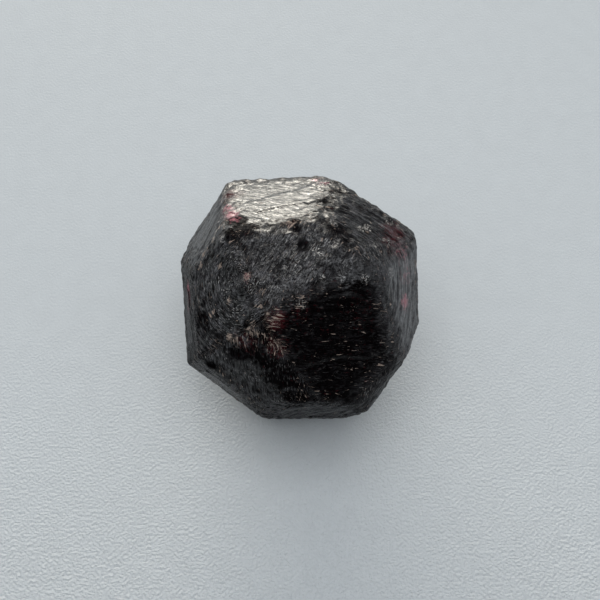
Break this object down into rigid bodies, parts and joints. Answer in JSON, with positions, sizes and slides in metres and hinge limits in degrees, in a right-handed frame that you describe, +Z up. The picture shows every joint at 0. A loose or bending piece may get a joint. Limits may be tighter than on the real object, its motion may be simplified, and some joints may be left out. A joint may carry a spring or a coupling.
{
  "type": "garnet crystal",
  "caption": "Loose garnet crystal, a 24-faced trapezohedron with worn edges, growth steps and small chips, resting on one face.",
  "frame": {"origin": "centre of the bounding box, on the flat face that the crystal lies on", "axes": "+Z up from the resting face; +Y away from the viewer, along the crystal's longest extent; +X to the viewer's right"},
  "size_m": [0.0256, 0.0266, 0.0244],
  "materials": {
    "garnet": "satin"
  },
  "bodies": {
    "root": {"garnet_crystal": "garnet"}
  },
  "joints": []
}
